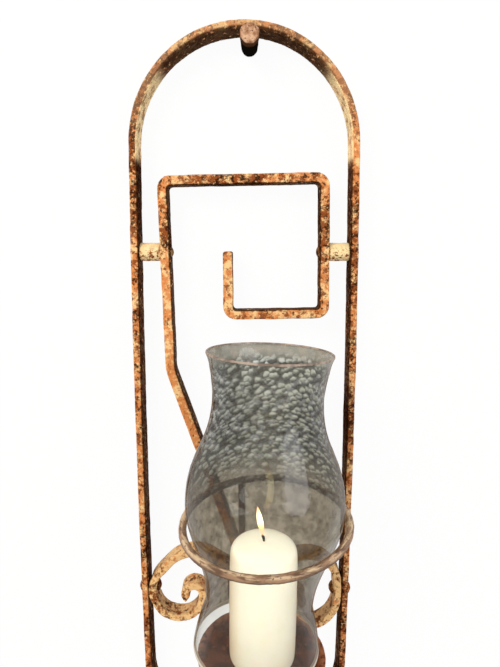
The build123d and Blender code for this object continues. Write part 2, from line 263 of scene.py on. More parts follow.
def blank_material(name):
    """An empty node material, with its Object coordinates and its normals read from the piece."""
    material = bpy.data.materials.new(name)
    material.use_nodes = True
    tree = material.node_tree
    tree.nodes.clear()
    place = add(tree, "TexCoord")
    return material, tree, place.outputs["Object"], place.outputs["Normal"]


def patches(tree, place, width, start, end, seed, detail=3.0, push=None):
    """A mask of ragged patches of this width in metres: 0 below start and 1 above end of the noise."""
    noise = add(
        tree, "TexNoise", {"noise_dimensions": "4D"},
        {"Vector": place, "W": seed, "Scale": 1.0 / width, "Detail": detail, "Roughness": 0.6},
    ).outputs[0]
    if push is not None:
        noise = maths(tree, "ADD", noise, push)
    return between(tree, noise, start, end)


def maths(tree, operation, first, second):
    """One sum on two numbers."""
    return add(tree, "Math", {"operation": operation}, {0: first, 1: second}).outputs[0]


def vector(tree, operation, first, second):
    """One sum on two vectors that gives a vector."""
    return add(tree, "VectorMath", {"operation": operation}, {0: first, 1: second}).outputs[0]


def part_of(tree, whole, axis):
    """One part of a vector: 0 is x, 1 is y and 2 is z."""
    return add(tree, "SeparateXYZ", None, {0: whole}).outputs[axis]


def ranged(tree, value, low, high):
    """Stretches a share from 0 to 1 over the range from low to high."""
    return add(tree, "MapRange", None, {"Value": value, "To Min": low, "To Max": high}).outputs[0]


def over(tree, below, above, share):
    """One colour laid over another where the share is 1."""
    return add(tree, "Mix", {"data_type": "RGBA"}, {0: share, 6: below, 7: above}).outputs[2]


def between(tree, value, start, end):
    """Rises smoothly from 0 at start to 1 at end."""
    return add(
        tree, "MapRange", {"interpolation_type": "SMOOTHSTEP"},
        {"Value": value, "From Min": start, "From Max": end},
    ).outputs[0]


def times(tree, first, second):
    """Two shares at once."""
    return maths(tree, "MULTIPLY", first, second)


def stretch(tree, height, start, full, fade, end):
    """1 between the heights full and fade, and 0 below start and above end."""
    return times(tree, between(tree, height, start, full), between(tree, height, end, fade))


def shaded(tree, place, normal, middle, low, high):
    """How far a face looks in towards the middle line, which runs at this x from low up to high. Those faces
    are painted with dark scale and painted shade.
    """
    height = part_of(tree, place, 2)
    held = add(tree, "Clamp", None, {"Value": height, "Min": low, "Max": high}).outputs[0]
    axis = add(tree, "CombineXYZ", None, {0: middle, 2: held}).outputs[0]
    away = vector(tree, "SUBTRACT", place, axis)
    flat = vector(tree, "MULTIPLY", away, (1.0, 0.0, 1.0))
    outwards = add(tree, "VectorMath", {"operation": "NORMALIZE"}, {0: flat}).outputs[0]
    facing = add(tree, "VectorMath", {"operation": "DOT_PRODUCT"}, {0: outwards, 1: normal}).outputs["Value"]
    return between(tree, facing, -0.12, -0.50)


def iron_surface(tree, shade, rough, bump_height, bump, sheen=0.2, scale=None):
    """Paint or scale on iron: dull, with the relief of its flakes and pits. Where the scale's share is 1
    the skin is sooty and has hardly any sheen."""
    relief = add(tree, "Bump", None, {"Strength": 0.7, "Distance": bump_height, "Height": bump})
    skin = add(
        tree, "BsdfPrincipled", None,
        {
            "Base Color": shade, "Roughness": rough, "Normal": relief.outputs[0], "IOR": 1.5,
            "Specular IOR Level": sheen,
        },
    )
    if scale is not None:
        index = ranged(tree, scale, 1.5, 1.02)
        tree.links.new(index, skin.inputs["IOR"])
    add(tree, "OutputMaterial", None, {"Surface": skin.outputs[0]})


def worn_paint(
    name, colours, middle, low, high, cream_share, wear, scale_and_shade_share, seed, heavy=None, bands=(), lip=None
):
    """Brushed oil paint on forged iron, worn by weather: cream over orange, with rust in ragged patches, dark
    pits where it has gone through, and dark scale with painted shade on the faces that look inwards. On the
    ridges the paint is worn back to cream, which also paints a highlight there.
    heavy is two heights between which wear and dust set in, the wear they add and the share of dust.
    bands are stretches of height whose inward faces are painted cream in streaks instead of dark. lip is the
    distance from the arch's centre within which all its faces are dark, as painted shade along the arch's
    underside."""
    material, tree, place, normal = blank_material(name)
    cream, orange, tan = opaque(colours.cream), opaque(colours.orange), opaque(colours.tan)
    rust, dark_scale_and_shade = opaque(colours.rust), opaque(colours.dark_scale_and_shade)
    height = part_of(tree, place, 2)
    slow = add(
        tree, "TexNoise", {"noise_dimensions": "4D"},
        {"Vector": place, "W": seed + 60.0, "Scale": 22.0, "Detail": 2.0},
    ).outputs[0]
    push = ranged(tree, slow, wear - 0.20, wear + 0.20)
    if heavy is not None:
        more = add(
            tree, "MapRange", {"interpolation_type": "SMOOTHSTEP"},
            {"Value": height, "From Min": heavy[0], "From Max": heavy[1], "To Min": 0.0, "To Max": heavy[2]},
        ).outputs[0]
        push = maths(tree, "ADD", push, more)
        dusty = between(tree, height, heavy[0], heavy[1])
    clouds = patches(tree, place, 0.012, 0.60 - cream_share, 0.72 - cream_share, seed, 6.0)
    paint = over(tree, orange, cream, clouds)
    stains = patches(tree, place, 0.005, 0.50, 0.62, seed + 3.1, 6.0)
    paint = over(tree, paint, tan, times(tree, stains, 0.75))
    worn = patches(tree, place, 0.0065, 0.47, 0.57, seed + 7.7, 8.0, push)
    paint = over(tree, paint, rust, times(tree, worn, 0.9))
    deep = patches(tree, place, 0.0050, 0.53, 0.60, seed + 13.0, 7.0, push)
    paint = over(tree, paint, dark_scale_and_shade, times(tree, deep, 0.85))
    pits = patches(tree, place, 0.0024, 0.57, 0.64, seed + 17.9, 4.0, push)
    paint = over(tree, paint, dark_scale_and_shade, times(tree, pits, 0.65))
    if heavy is not None:
        paint = over(tree, paint, tint("#B28C6A"), times(tree, dusty, heavy[3]))
    flecks = patches(tree, place, 0.0034, 0.57, 0.65, seed + 21.0, 4.0)
    paint = over(tree, paint, cream, times(tree, flecks, 0.75))
    # Paint worn back to cream on the ridges, which also paints a highlight along them
    ridge = add(tree, "NewGeometry").outputs["Pointiness"]
    chipped = patches(tree, place, 0.008, 0.46, 0.56, seed + 37.0, 5.0)
    rubbed_and_highlit = times(tree, between(tree, ridge, 0.52, 0.58), chipped)
    paint = over(tree, paint, cream, times(tree, rubbed_and_highlit, 0.6))
    # Faces that look inwards get dark scale and painted shade
    scale_and_shade = shaded(tree, place, normal, middle, low, high)
    for start, full, fade, end in bands:
        band = stretch(tree, height, start, full, fade, end)
        streaks = patches(tree, place, 0.009, 0.66, 0.44, seed + 44.0, 6.0)
        paint = over(tree, paint, tint("#FFE2AC"), times(tree, times(tree, scale_and_shade, band), streaks))
        open_share = maths(tree, "SUBTRACT", 1.0, band)
        scale_and_shade = times(tree, scale_and_shade, open_share)
    # Painted shade: the arch's front is dark along its underside near the top
    if lip is not None:
        away = vector(tree, "SUBTRACT", place, (middle, 0.0, high))
        flat = vector(tree, "MULTIPLY", away, (1.0, 0.0, 1.0))
        reach = add(tree, "VectorMath", {"operation": "LENGTH"}, {0: flat}).outputs["Value"]
        near = between(tree, reach, lip + 0.0012, lip - 0.0012)
        edge = times(tree, near, between(tree, height, ARCH_DARK_FROM, ARCH_DARK_TO))
        scale_and_shade = maths(tree, "MAXIMUM", scale_and_shade, edge)
    bare = patches(tree, place, 0.0045, 0.66, 0.58, seed + 31.0, 5.0)
    scale_and_shade = times(tree, times(tree, scale_and_shade, bare), scale_and_shade_share)
    shade = over(tree, paint, dark_scale_and_shade, scale_and_shade)
    flakes = maths(tree, "ADD", worn, deep)
    grit = add(
        tree, "TexNoise", {"noise_dimensions": "3D"}, {"Vector": place, "Scale": 700.0, "Detail": 3.0}
    ).outputs[0]
    relief = maths(tree, "SUBTRACT", grit, flakes)
    rough = add(
        tree, "MapRange", None, {"Value": flakes, "From Max": 2.0, "To Min": 0.45, "To Max": 0.9}
    ).outputs[0]
    iron_surface(tree, shade, rough, 0.0007, relief, 0.06, scale_and_shade)
    return material


def pale_paint(name, colours, seed):
    """Thick pale paint on the short round spacers: nearly whole above, chipped and speckled below, where the
    chips also paint shade on the underside.
    """
    material, tree, place, normal = blank_material(name)
    below = part_of(tree, normal, 2)
    chips = patches(tree, place, 0.0030, 0.50, 0.57, seed, 6.0)
    # Chips gather on the downward faces: rust chips and painted shade on the underside
    chips = times(tree, chips, between(tree, below, 0.9, -0.3))
    stain = patches(tree, place, 0.009, 0.45, 0.65, seed + 5.0, 4.0)
    shade = over(tree, opaque(colours.pale), opaque(colours.cream), stain)
    shade = over(tree, shade, opaque(colours.rust), chips)
    rough = ranged(tree, chips, 0.5, 0.85)
    grit = add(tree, "TexNoise", None, {"Vector": place, "Scale": 700.0, "Detail": 3.0}).outputs[0]
    iron_surface(tree, shade, rough, 0.0003, grit)
    return material


def bare_rod(name, colours, seed):
    """Round mild steel rod, drawn and left bare: brown patina in streaks along the rod, a painted highlight
    in patches on its top and painted shade on its underside."""
    material, tree, place, normal = blank_material(name)
    up = part_of(tree, normal, 2)
    away = vector(tree, "SUBTRACT", place, tuple(ring_centre))
    split = add(tree, "SeparateXYZ", None, {0: away})
    angle = add(tree, "Math", {"operation": "ARCTAN2"}, {0: split.outputs[1], 1: split.outputs[0]}).outputs[0]
    along = times(tree, angle, 0.016)
    reach = add(tree, "VectorMath", {"operation": "LENGTH"}, {0: away}).outputs["Value"]
    rod = add(tree, "CombineXYZ", None, {0: along, 1: reach, 2: split.outputs[2]}).outputs[0]
    patina = patches(tree, rod, 0.0040, 0.42, 0.60, seed, 5.0)
    shade = over(tree, opaque(colours.rod), tint("#6A4E3A"), patina)
    # Painted shade: the rod darkens on its downward faces
    shade = over(tree, shade, tint("#2E2018"), times(tree, between(tree, up, 0.10, -0.75), 0.9))
    # Painted highlight: light patches on the upward faces
    painted_top_highlight = patches(tree, rod, 0.0030, 0.46, 0.58, seed + 4.0, 5.0)
    shade = over(tree, shade, tint("#D8BC98"), times(tree, painted_top_highlight, between(tree, up, 0.05, 0.75)))
    specks = patches(tree, place, 0.0022, 0.60, 0.67, seed + 9.0, 3.0)
    shade = over(tree, shade, tint("#3E2A1E"), times(tree, specks, 0.8))
    grit = add(tree, "TexNoise", None, {"Vector": place, "Scale": 800.0, "Detail": 4.0}).outputs[0]
    relief = add(tree, "Bump", None, {"Strength": 0.5, "Distance": 0.0003, "Height": grit})
    skin = add(
        tree, "BsdfPrincipled", None,
        {"Base Color": shade, "Metallic": 0.25, "Roughness": 0.5, "Normal": relief.outputs[0]},
    )
    add(tree, "OutputMaterial", None, {"Surface": skin.outputs[0]})
    return material


def rusted_sheet(name, colours, seed):
    """Pressed sheet steel with an even coat of rust: brown with darker bays, and orange on its raised rim."""
    material, tree, place, _ = blank_material(name)
    middle = (plate_low + plate_high) / 2
    away = vector(tree, "SUBTRACT", place, tuple(middle))
    flat = vector(tree, "MULTIPLY", away, (1.0, 1.0, 0.0))
    reach = add(tree, "VectorMath", {"operation": "LENGTH"}, {0: flat}).outputs["Value"]
    bays = patches(tree, place, 0.018, 0.40, 0.62, seed, 6.0)
    shade = over(tree, opaque(colours.plate), tint("#40241A"), bays)
    bloom = patches(tree, place, 0.006, 0.54, 0.66, seed + 2.0, 5.0)
    shade = over(tree, shade, tint("#8A5236"), times(tree, bloom, 0.7))
    ragged = patches(tree, place, 0.007, 0.36, 0.56, seed + 6.0, 5.0)
    rim = times(tree, between(tree, reach, 0.056, 0.064), ragged)
    shade = over(tree, shade, tint("#A06848"), rim)
    specks = patches(tree, place, 0.0025, 0.60, 0.68, seed + 8.0, 3.0)
    shade = over(tree, shade, tint("#2C1712"), times(tree, specks, 0.8))
    rough = ranged(tree, bays, 0.62, 0.85)
    grit = add(tree, "TexNoise", None, {"Vector": place, "Scale": 600.0, "Detail": 5.0}).outputs[0]
    iron_surface(tree, shade, rough, 0.0004, grit, 0.05)
    return material


def chalky_peg(name, colours, seed):
    """Hammered iron peg: chalky peach paint on the head's face; painted shade makes the head's sides brown
    and the shank near black.
    """
    material, tree, place, normal = blank_material(name)
    outwards = part_of(tree, place, 1)
    head = between(tree, outwards, -0.026, -0.033)
    face = between(tree, part_of(tree, normal, 1), -0.1, -0.7)
    bloom = patches(tree, place, 0.006, 0.38, 0.62, seed, 5.0)
    paint = over(tree, opaque(colours.peg), tint("#96694C"), bloom)
    specks = patches(tree, place, 0.0022, 0.58, 0.66, seed + 5.0, 4.0)
    paint = over(tree, paint, tint("#5E3E2C"), specks)
    # Painted shade: brown on the head's sides, near black on the shank
    side = over(tree, tint("#120E0A"), tint("#5E3E2A"), times(tree, head, 0.6))
    shade = over(tree, side, paint, times(tree, face, head))
    grit = add(tree, "TexNoise", None, {"Vector": place, "Scale": 500.0, "Detail": 4.0}).outputs[0]
    bare = add(tree, "Math", {"operation": "SUBTRACT"}, {0: 1.0, 1: times(tree, face, head)}).outputs[0]
    iron_surface(tree, shade, 0.78, 0.0006, grit, 0.1, bare)
    return material


def gleam(tree, body, rough, most=0.9, relief=None):
    """Lays the mirror sheen of smooth glass over a body: 4% straight on, and rising steeply to the edge."""
    facing = add(tree, "LayerWeight", None, {"Blend": 0.5}).outputs["Facing"]
    steep = maths(tree, "POWER", facing, 5.0)
    share = ranged(tree, steep, 0.04, most)
    sockets = {"Roughness": rough}
    if relief is not None:
        sockets["Normal"] = relief
    shine = add(tree, "BsdfGlossy", None, sockets)
    skin = add(tree, "MixShader", None, {0: share, 1: body, 2: shine.outputs[0]})
    add(tree, "OutputMaterial", None, {"Surface": skin.outputs[0]})


def clear_glass(name):
    """Fire-polished soda glass: clear, with a faint green-grey cast in its thickness and a mirror sheen."""
    material, tree, _, _ = blank_material(name)
    clear = add(tree, "BsdfTransparent", None, {"Color": tint("#F6F7F4")})
    gleam(tree, clear.outputs[0], 0.03, 0.5)
    return material


def rolled_edge(name):
    """The fire-polished edge of the wall, where the glass is deepest: beige at the rim, paler at the foot,
    where it is a painted highlight.
    """
    material, tree, place, _ = blank_material(name)
    height = part_of(tree, place, 2)
    cloud = patches(tree, place, 0.010, 0.40, 0.60, 4.0)
    shade = over(tree, tint("#BEAA9B"), tint("#86756A"), cloud)
    # Painted highlight along the foot's edge
    shade = over(tree, shade, tint("#E6DED2"), between(tree, height, ring_centre.z, ring_centre.z - 0.05))
    clear = add(tree, "BsdfTransparent", None, {"Color": tint("#D0C4B6")})
    film = add(tree, "BsdfDiffuse", None, {"Color": shade})
    body = add(tree, "MixShader", None, {0: 0.75, 1: clear.outputs[0], 2: film.outputs[0]})
    gleam(tree, body.outputs[0], 0.08, 0.4)
    return material


def hammered_glass(name):
    """Blown soda glass with a thin smoked film and small pebble marks in its upper half, strongest at the
    back; below them the film thins to a brown haze. Each pebble is painted lit on its upper left and shaded
    below, with painted shade between them. Edge on, the wall is painted darker as a warm line.
    Film and marks are an assumption and a fault: plain clear_glass is likelier."""
    material, tree, place, _ = blank_material(name)
    split = add(tree, "SeparateXYZ", None, {0: place})
    height, deep = split.outputs[2], split.outputs[1]
    base = ring_centre.z
    back = between(tree, deep, ring_centre.y - 0.015, ring_centre.y + 0.025)
    wobble = add(tree, "TexNoise", None, {"Vector": place, "Scale": 230.0, "Detail": 2.0}).outputs[1]
    stray = add(tree, "VectorMath", {"operation": "SCALE"}, {0: wobble, "Scale": 0.004}).outputs[0]
    where = vector(tree, "ADD", place, stray)
    flat = vector(tree, "MULTIPLY", where, (1.0, 1.0, 1.15))
    stone = add(tree, "TexVoronoi", {"feature": "F1"}, {"Vector": flat, "Scale": 138.0})
    spread = stone.outputs["Distance"]
    dome = add(tree, "MapRange", None, {"Value": spread, "From Min": 0.0, "From Max": 0.75}).outputs[0]
    # Painted shade between the pebbles
    painted_gap_shade = between(tree, spread, 0.42, 0.68)
    tone = add(tree, "SeparateXYZ", None, {0: stone.outputs["Color"]}).outputs[0]
    # Painted light and shade: each pebble lit from the upper left and shaded below
    from_middle = vector(tree, "SUBTRACT", flat, stone.outputs["Position"])
    painted_pebble_light = add(
        tree, "VectorMath", {"operation": "DOT_PRODUCT"}, {0: from_middle, 1: (-110.0, -20.0, 260.0)}
    ).outputs["Value"]
    painted_pebble_light = add(tree, "Math", {"operation": "MULTIPLY_ADD"}, {0: tone, 1: 0.75, 2: painted_pebble_light}).outputs[0]
    lit = between(tree, painted_pebble_light, -0.25, 1.1)
    back_marks = stretch(tree, height, base - 0.014, base + 0.048, base + 0.146, base + 0.162)
    front_marks = stretch(tree, height, base + 0.062, base + 0.100, base + 0.152, base + 0.164)
    marks = add(tree, "Mix", {"data_type": "FLOAT"}, {0: back, 2: front_marks, 3: back_marks}).outputs[0]
    haze = patches(tree, where, 0.010, 0.38, 0.62, 8.0, 6.0)
    thin = ranged(tree, haze, 0.26, 0.72)
    plain = times(tree, back, thin)
    pressed = add(tree, "Mix", {"data_type": "FLOAT"}, {0: back, 2: 0.15, 3: 0.92}).outputs[0]
    smoke = add(tree, "Mix", {"data_type": "FLOAT"}, {0: marks, 2: plain, 3: pressed}).outputs[0]
    # Painted shade: the film thickens and darkens where the wall is seen edge on
    facing = add(tree, "LayerWeight", None, {"Blend": 0.5}).outputs["Facing"]
    edge = maths(tree, "POWER", facing, 3.5)
    smoke = add(
        tree, "Math", {"operation": "MULTIPLY_ADD", "use_clamp": True}, {0: edge, 1: 0.8, 2: smoke}
    ).outputs[0]
    stones = over(tree, tint("#484D50"), tint("#E6EBED"), lit)
    stones = over(tree, stones, tint("#161819"), times(tree, painted_gap_shade, 0.85))
    near_rim = between(tree, height, base + 0.10, base + 0.14)
    plain_shade = over(tree, tint("#5A4A3C"), tint("#959A96"), near_rim)
    film_shade = over(tree, plain_shade, stones, marks)
    film_shade = over(tree, film_shade, tint("#7A6450"), edge)
    cast = over(tree, tint("#F2F1EC"), tint("#BFB1A0"), back)
    clear = add(tree, "BsdfTransparent", None, {"Color": cast})
    height_map = times(tree, dome, marks)
    relief = add(
        tree, "Bump", {"invert": True}, {"Strength": 0.7, "Distance": 0.0015, "Height": height_map}
    ).outputs[0]
    film = add(tree, "BsdfDiffuse", None, {"Color": film_shade, "Normal": relief})
    body = add(tree, "MixShader", None, {0: smoke, 1: clear.outputs[0], 2: film.outputs[0]})
    ripple = add(
        tree, "Bump", {"invert": True}, {"Strength": 0.2, "Distance": 0.0004, "Height": height_map}
    ).outputs[0]
    gleam(tree, body.outputs[0], 0.05, 0.4, ripple)
    return material


def ivory_wax(name, colours):
    """Pressed paraffin wax: light sinks in and spreads, softly mottled. A painted glow near the top stands in
    for the flame's light, dimmer at the edges; its left side and its edges carry painted shade.
    """
    material, tree, place, normal = blank_material(name)
    height = part_of(tree, place, 2)
    left = part_of(tree, normal, 0)
    cloud = patches(tree, place, 0.020, 0.42, 0.70, 3.0, 4.0)
    shade = over(tree, opaque(colours.wax), tint("#F8EED6"), times(tree, cloud, 0.5))
    # Painted shade on the side facing left
    shade = over(tree, shade, tint("#EBCFA8"), times(tree, between(tree, left, -0.6, -1.0), 0.8))
    # Painted shade towards the edges, where the side turns away
    facing = add(tree, "LayerWeight", None, {"Blend": 0.5}).outputs["Facing"]
    painted_silhouette_shade = maths(tree, "POWER", facing, 2.5)
    shade = over(tree, shade, tint("#DAB684"), times(tree, painted_silhouette_shade, 0.55))
    specks = patches(tree, place, 0.0024, 0.70, 0.74, 9.0, 2.0)
    shade = over(tree, shade, tint("#A08860"), times(tree, specks, 0.6))
    # Painted glow: emission near the top stands in for the flame's light in the wax
    glow = between(tree, height, candle_high.z - 0.110, candle_high.z - 0.004)
    lit = ranged(tree, glow, 0.38, 0.72)
    full = ranged(tree, painted_silhouette_shade, 1.0, 0.3)
    lit = times(tree, lit, full)
    grain = add(tree, "TexNoise", None, {"Vector": place, "Scale": 260.0, "Detail": 3.0}).outputs[0]
    relief = add(tree, "Bump", None, {"Strength": 0.15, "Distance": 0.0004, "Height": grain})
    skin = add(
        tree, "BsdfPrincipled", None,
        {
            "Base Color": shade, "Roughness": 0.42, "IOR": 1.44, "Subsurface Weight": 0.4,
            "Subsurface Scale": 0.01, "Emission Color": tint("#FFF9E8"), "Emission Strength": lit,
            "Normal": relief.outputs[0],
        },
    )
    add(tree, "OutputMaterial", None, {"Surface": skin.outputs[0]})
    return material


def burnt_cotton(name):
    """Braided cotton wick, charred: dull black with the braid's ridges and a brown foot where wax wets it."""
    material, tree, place, _ = blank_material(name)
    height = part_of(tree, place, 2)
    braid = add(
        tree, "TexWave", {"bands_direction": "DIAGONAL"}, {"Vector": place, "Scale": 420.0, "Distortion": 2.0}
    ).outputs[1]
    burnt = between(tree, height, candle_high.z - 0.0005, candle_high.z + 0.0015)
    shade = over(tree, tint("#6A4A30"), tint("#1A120E"), burnt)
    iron_surface(tree, shade, 0.95, 0.0003, braid)
    return material


def burning_gas(name, colours, foot, tip):
    """A candle flame: clear and faint round the wick, white-gold above, and orange where it thins out."""
    material, tree, place, _ = blank_material(name)
    height = part_of(tree, place, 2)
    rise = add(tree, "MapRange", None, {"Value": height, "From Min": foot, "From Max": tip}).outputs[0]
    ramp = add(tree, "ValToRGB", None, {0: rise})
    stops = ramp.color_ramp.elements
    stops[0].position, stops[0].color = 0.0, tint("#E07A2E")
    stops[1].position, stops[1].color = 1.0, opaque(colours.flame)
    for at, code in ((0.22, "#FFAE50"), (0.42, "#FFE7A0"), (0.75, "#FFF6D6")):
        stop = stops.new(at)
        stop.color = tint(code)
    thick = between(tree, rise, 0.22, 0.50)
    thick = ranged(tree, thick, 0.15, 0.98)
    light = add(tree, "Emission", None, {"Color": ramp.outputs[0], "Strength": 3.0})
    clear = add(tree, "BsdfTransparent")
    gas = add(tree, "MixShader", None, {0: thick, 1: clear.outputs[0], 2: light.outputs[0]})
    add(tree, "OutputMaterial", None, {"Surface": gas.outputs[0]})
    return material


def select_nothing():
    """Clears the selection, because an operator acts on all that is selected."""
    if bpy.context.object and bpy.context.object.mode != "OBJECT":
        bpy.ops.object.mode_set(mode="OBJECT")
    for thing in bpy.context.selected_objects:
        thing.select_set(False)


def pick(piece):
    """Selects one piece alone and makes it active."""
    select_nothing()
    bpy.context.view_layer.objects.active = piece
    piece.select_set(True)


def finish_with(piece, kind, **settings):
    """Adds one modifier with its settings and applies it."""
    pick(piece)
    modifier = piece.modifiers.new(kind.title(), kind)
    for key, value in settings.items():
        setattr(modifier, key, value)
    bpy.ops.object.modifier_apply(modifier=modifier.name)


def press_in(piece, width, depth, kind="CLOUDS", where=""):
    """Moves the skin in and out in soft clouds or pebbles of this width.
    If a group of corners is named, only they move."""
    marks = bpy.data.textures.new("hammer_marks", kind)
    marks.noise_scale = width
    if kind == "CLOUDS":
        marks.noise_depth = 2
    finish_with(
        piece, "DISPLACE", texture=marks, texture_coords="LOCAL", strength=depth, mid_level=0.5,
        vertex_group=where,
    )
    bpy.data.textures.remove(marks)


def dress(piece, body, slot, material, *nodes):
    """Gives a finished piece its material and its body, and hides the nodes that it stands for."""
    if material is not None:
        piece.data.materials.clear()
        piece.data.materials.append(material)
    pick(piece)
    bpy.ops.object.shade_smooth()
    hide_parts(*nodes)
    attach(piece, body)
    return piece


def forge(name, node, face, dent_width, dent_depth, pit_width, pit_depth):
    """A copy of a node's bar, welded, its skin rebuilt in small faces, then hammered and pitted."""
    mesh = frame["nodes"][node].data.copy()
    piece = bpy.data.objects.new(name, mesh)
    mesh.name = name
    bpy.context.collection.objects.link(piece)
    pick(piece)
    bpy.ops.object.mode_set(mode="EDIT")
    bpy.ops.mesh.select_all(action="SELECT")
    bpy.ops.mesh.remove_doubles(threshold=0.000002)
    bpy.ops.object.mode_set(mode="OBJECT")
    finish_with(piece, "REMESH", mode="VOXEL", voxel_size=face)
    finish_with(piece, "SMOOTH", factor=0.5, iterations=6)
    press_in(piece, dent_width, dent_depth)
    press_in(piece, pit_width, pit_depth)
    return piece


def draw_up(name, sides, rings, capped):
    """A round piece raised ring by ring from a circle, as on a wheel.
    A ring is its radius, height and stray in millimetres, and how far it tips back in degrees."""
    select_nothing()
    radius, height, stray = [value / 1000 for value in rings[0][:3]]
    tipped = 0.0
    bpy.ops.mesh.primitive_circle_add(
        vertices=sides, radius=radius, fill_type="NGON" if capped else "NOTHING", location=(0.0, 0.0, 0.0)
    )
    piece = bpy.context.object
    piece.name = piece.data.name = name
    bpy.ops.object.mode_set(mode="EDIT")
    bpy.ops.mesh.select_all(action="SELECT")
    bpy.ops.transform.translate(value=(stray, 0.0, height))
    for ring in rings[1:]:
        wide, high, off = [value / 1000 for value in ring[:3]]
        bpy.ops.mesh.extrude_region_move(TRANSFORM_OT_translate={"value": (off - stray, 0.0, high - height)})
        share = wide / radius
        bpy.ops.transform.resize(value=(share, share, share), center_override=(off, 0.0, high))
        if len(ring) > 3 and ring[3] != tipped:
            turn = math.radians(ring[3] - tipped)
            bpy.ops.transform.rotate(value=turn, orient_axis="X", center_override=(off, 0.0, high))
            tipped = ring[3]
        radius, height, stray = wide, high, off
    bpy.ops.mesh.select_all(action="SELECT")
    bpy.ops.mesh.normals_make_consistent(inside=False)
    bpy.ops.object.mode_set(mode="OBJECT")
    return piece


def stand(piece, place, lean):
    """Leans a piece over to the right, sets it in its place and fixes that in its mesh."""
    pick(piece)
    piece.rotation_euler = (0.0, lean, 0.0)
    piece.location = place
    bpy.ops.object.transform_apply(location=True, rotation=True, scale=True)


def candle_foot():
    """Middle of the candle's underside. The lean lifts one edge of it above the lowest corner."""
    lean = math.radians(CANDLE_NODE_LEAN)
    x = candle_low.x + CANDLE_RADIUS * math.cos(lean)
    return Vector((x, (candle_low.y + candle_high.y) / 2, candle_low.z + CANDLE_RADIUS * math.sin(lean)))


class CANDLEHOLDER_OT_peg(bpy.types.Operator):
    """Hammered peg that the holder hangs on"""

    bl_idname = "candle_holder.peg"
    bl_label = "Peg"

    def execute(self, context):
        sizes, colours = context.scene.candle_holder_sizes, context.scene.candle_holder_colours
        peg = forge("hammered_peg", "wall_peg", 0.0008, 0.008, 0.0009, sizes.pit_width, sizes.pit_depth)
        dress(peg, "wall_peg", "peg_paint", chalky_peg("chalk_paint_on_iron", colours, 2.0), "wall_peg")
        return {"FINISHED"}


class CANDLEHOLDER_OT_frame(bpy.types.Operator):
    """Long closed loop of flat bar"""

    bl_idname = "candle_holder.frame"
    bl_label = "Long loop"

    def execute(self, context):
        sizes, colours = context.scene.candle_holder_sizes, context.scene.candle_holder_colours
        loop = forge(
            "long_loop", "outer_frame", sizes.bar_face, sizes.dent_width, sizes.dent_depth,
            sizes.pit_width, sizes.pit_depth,
        )
        middle = (frame_low.x + frame_high.x) / 2
        top = frame_high.z - ARCH_RADIUS
        foot = frame_low.z + FOOT_RADIUS
        paint = worn_paint(
            "weathered_oil_paint_loop", colours, middle, foot, top, 0.12, 0.0, 0.88, 1.0,
            heavy=(LOOP_WEAR_FROM, LOOP_WEAR_TO, 0.010, 0.45), bands=(LOOP_CREAM_BAND,), lip=ARCH_DARK_REACH,
        )
        dress(loop, "holder", "iron_paint", paint, "outer_frame")
        return {"FINISHED"}


class CANDLEHOLDER_OT_scroll(bpy.types.Operator):
    """Square scroll of flat bar inside the loop"""

    bl_idname = "candle_holder.scroll"
    bl_label = "Square scroll"

    def execute(self, context):
        sizes, colours = context.scene.candle_holder_sizes, context.scene.candle_holder_colours
        scroll = forge(
            "square_scroll", "key_scroll", sizes.bar_face, sizes.dent_width, sizes.dent_depth,
            sizes.pit_width, sizes.pit_depth,
        )
        middle = (scroll_low.x + scroll_high.x) / 2
        centre = scroll_high.z - SCROLL_SQUARE_DROP
        paint = worn_paint(
            "weathered_oil_paint_scroll", colours, middle, centre, centre,
            0.14, -0.065, 0.9, 14.0, heavy=(scroll_high.z - 0.145, scroll_high.z - 0.005, 0.085, 0.0),
        )
        dress(scroll, "holder", "iron_paint", paint, "key_scroll")
        return {"FINISHED"}


class CANDLEHOLDER_OT_volutes(bpy.types.Operator):
    """Two hand-bent volutes that spring from the collar"""

    bl_idname = "candle_holder.volutes"
    bl_label = "Volutes"

    def execute(self, context):
        sizes, colours = context.scene.candle_holder_sizes, context.scene.candle_holder_colours
        for side, seed in (("left", 27.0), ("right", 33.0)):
            node = "volute_" + side
            low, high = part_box(node)
            middle = (low + high) / 2
            volute = forge(
                "hand_bent_volute_" + side, node, 0.0011, sizes.dent_width, sizes.dent_depth,
                sizes.pit_width, sizes.pit_depth,
            )
            paint = worn_paint(
                "weathered_oil_paint_volute_" + side, colours, middle.x, middle.z, middle.z,
                0.25, -0.065, 0.2, seed,
            )
            dress(volute, "holder", "iron_paint", paint, node)
        return {"FINISHED"}


class CANDLEHOLDER_OT_fixings(bpy.types.Operator):
    """Round spacers and hammered rivets"""

    bl_idname = "candle_holder.fixings"
    bl_label = "Spacers and rivets"

    def execute(self, context):
        sizes, colours = context.scene.candle_holder_sizes, context.scene.candle_holder_colours
        pale = pale_paint("thick_pale_paint", colours, 5.0)
        middle = (frame_low.x + frame_high.x) / 2
        worn = worn_paint("worn_paint_on_rivets", colours, middle, -0.7, -0.1, 0.12, 0.0, 0.6, 41.0)
        for side in ("left", "right"):
            spacer = forge(
                "round_spacer_" + side, "spacer_" + side, 0.0008, 0.010, 0.0007,
                sizes.pit_width, sizes.pit_depth,
            )
            dress(spacer, "holder", "cream_paint", pale, "spacer_" + side)
            for kind in ("upper_rivet_", "volute_rivet_"):
                rivet = forge(
                    "hammered_" + kind + side, kind + side, 0.0006, 0.006, 0.0008, 0.002, 0.0003
                )
                dress(rivet, "holder", "rivet_paint", worn, kind + side)
        return {"FINISHED"}


